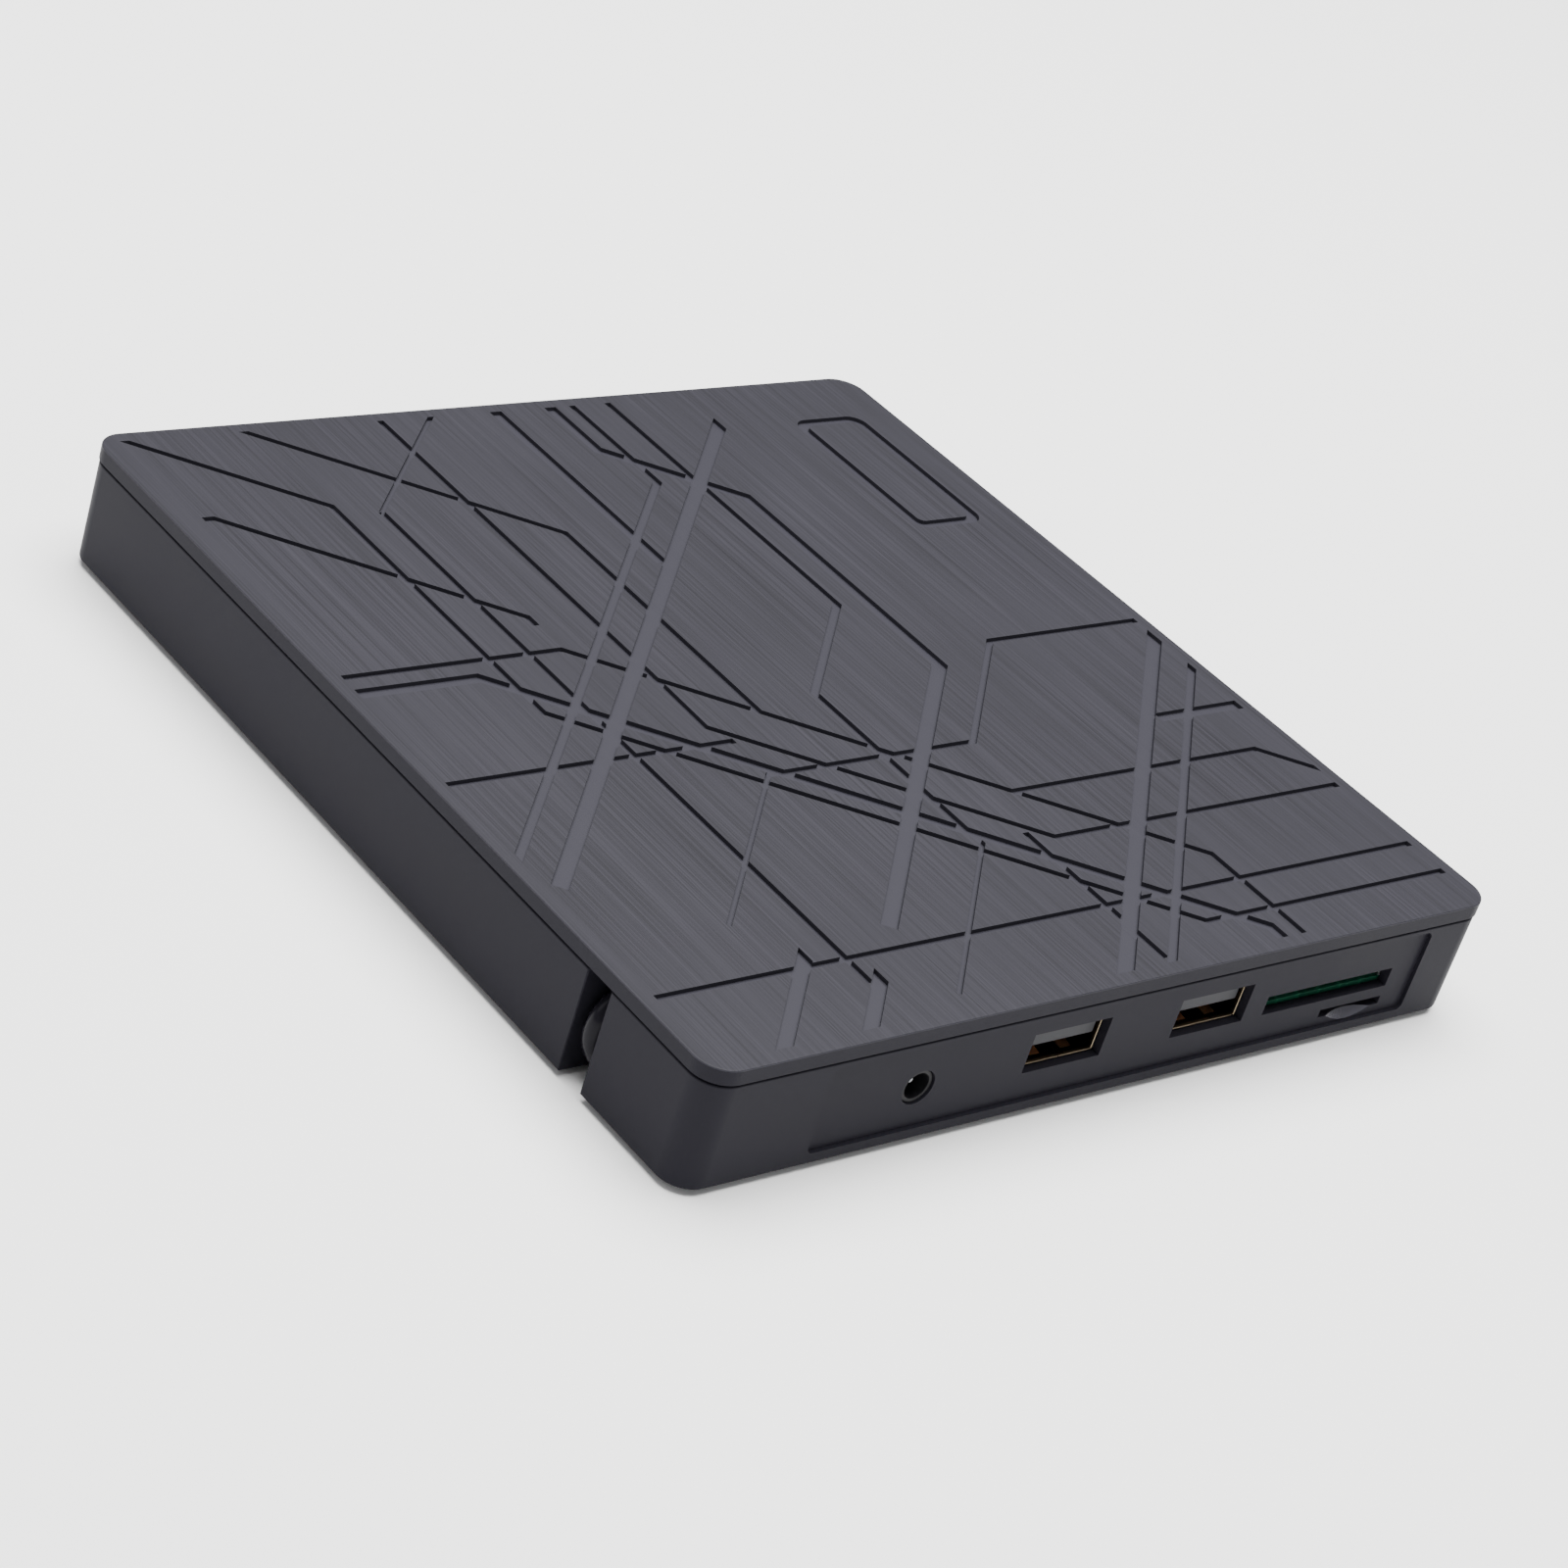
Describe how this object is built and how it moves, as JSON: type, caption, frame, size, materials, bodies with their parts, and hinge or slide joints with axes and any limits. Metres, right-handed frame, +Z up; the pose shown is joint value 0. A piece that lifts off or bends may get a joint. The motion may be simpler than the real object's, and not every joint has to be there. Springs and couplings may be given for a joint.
{
  "type": "external disc burner",
  "caption": "Slim external disc burner: flat case with a grooved cover, sliding disc tray, rear hub sockets, card slots and a captive lead kept in an underside channel.",
  "frame": {"origin": "middle of the footprint, on the surface that the feet stand on", "axes": "+Z up, tray opens towards -Y, sockets face +Y, lead notch on the +X side"},
  "size_m": [0.14, 0.15, 0.019],
  "materials": {
    "lid_abs": "satin, brushed lines",
    "case_abs": "satin",
    "foot_rubber": "matte",
    "screw_steel": "plated",
    "board_green": "solder mask",
    "chip_epoxy": "matte",
    "socket_plastic": "satin",
    "plated_shell": "plated",
    "tongue_plastic": "satin",
    "contact_copper": "plated",
    "drive_steel": "zinc plated",
    "rail_steel": "bright",
    "lead_pvc": "gloss",
    "plug_plastic": "satin",
    "flex_film": "film",
    "tray_plastic": "fine spark texture",
    "bezel_abs": "satin",
    "rod_chrome": "ground",
    "pipe_clear": "clear",
    "hub_plastic": "satin",
    "pickup_alloy": "cast",
    "lens_glass": "coated",
    "lead_brass": "rolled"
  },
  "bodies": {
    "case": {"top_cover": "lid_abs", "lower_case": "case_abs", "rubber_feet": "foot_rubber", "case_screws": "screw_steel", "hub_board": "board_green", "hub_chips": "chip_epoxy", "dc_jack": "socket_plastic", "dc_pin": "screw_steel", "usb_shell_1": "plated_shell", "usb_shell_2": "plated_shell", "usb_tongue_1": "tongue_plastic", "usb_tongue_2": "tongue_plastic", "usb_contacts_1": "contact_copper", "usb_contacts_2": "contact_copper", "sd_socket": "drive_steel", "sd_contacts": "contact_copper", "tf_socket": "drive_steel", "sata_plug": "socket_plastic", "cable_grommet": "foot_rubber", "usb_cable": "lead_pvc", "plug_grip": "lead_pvc", "plug_shell": "screw_steel", "plug_tongue": "plug_plastic", "drive_chassis": "drive_steel", "drive_cover": "drive_steel", "drive_board": "board_green", "drive_chips": "chip_epoxy", "sata_socket": "socket_plastic", "flex_cable": "flex_film", "rail_guide_left": "socket_plastic", "rail_guide_right": "socket_plastic"},
    "tray": {"tray": "tray_plastic", "tray_bezel": "bezel_abs", "tray_bottom": "drive_steel", "traverse_frame": "drive_steel", "traverse_cover": "tray_plastic", "traverse_dampers": "foot_rubber", "traverse_screws": "screw_steel", "guide_rod_main": "rod_chrome", "guide_rod_side": "rod_chrome", "spindle_stator": "contact_copper", "sled_motor": "drive_steel", "light_pipe": "pipe_clear", "switch_board": "board_green", "lock_solenoid": "contact_copper"},
    "rail_left": {"rail_left": "rail_steel"},
    "rail_right": {"rail_right": "rail_steel"},
    "eject_button": {"eject_button": "bezel_abs"},
    "spindle": {"spindle_bell": "rod_chrome", "turntable": "hub_plastic"},
    "pickup": {"pickup_carriage": "pickup_alloy"},
    "lens": {"lens_holder": "hub_plastic", "lens": "lens_glass"},
    "lead_screw": {"lead_screw": "lead_brass"},
    "lock_lever": {"lock_lever": "plug_plastic"}
  },
  "joints": [
    {"name": "tray_slide", "type": "slide", "parent": "case", "child": "tray", "axis": [0, -1, 0], "range_m": [0, 0.126]},
    {"name": "rail_left_slide", "type": "slide", "parent": "case", "child": "rail_left", "axis": [0, -1, 0], "range_m": [0, 0.063]},
    {"name": "rail_right_slide", "type": "slide", "parent": "case", "child": "rail_right", "axis": [0, -1, 0], "range_m": [0, 0.063]},
    {"name": "eject_press", "type": "slide", "parent": "tray", "child": "eject_button", "axis": [0, 1, 0], "range_m": [0, 0.0006], "stiffness_N_per_m": 900},
    {"name": "disc_spin", "type": "hinge", "parent": "tray", "child": "spindle", "pos_m": [0, -0.0117, 0.0143], "axis": [0, 0, 1], "continuous": true},
    {"name": "pickup_slide", "type": "slide", "parent": "tray", "child": "pickup", "axis": [-0.7071, -0.7071, 0], "range_m": [0, 0.034]},
    {"name": "lead_screw_spin", "type": "hinge", "parent": "tray", "child": "lead_screw", "pos_m": [-0.02249, -0.0175, 0.0111], "axis": [-0.7071, -0.7071, 0], "range_deg": [-1, 4082]},
    {"name": "lens_focus", "type": "slide", "parent": "pickup", "child": "lens", "axis": [0, 0, 1], "range_m": [-0.0003, 0.0003], "stiffness_N_per_m": 60},
    {"name": "latch_swing", "type": "hinge", "parent": "tray", "child": "lock_lever", "pos_m": [-0.046, 0.003, 0.0108], "axis": [0, 0, 1], "range_deg": [0, 18]}
  ],
  "couplings": [
    {"joint": "rail_left_slide", "follows": "tray_slide", "ratio": 0.5},
    {"joint": "rail_right_slide", "follows": "tray_slide", "ratio": 0.5},
    {"joint": "lead_screw_spin", "follows": "pickup_slide", "rad_per_m": 2094.4}
  ]
}
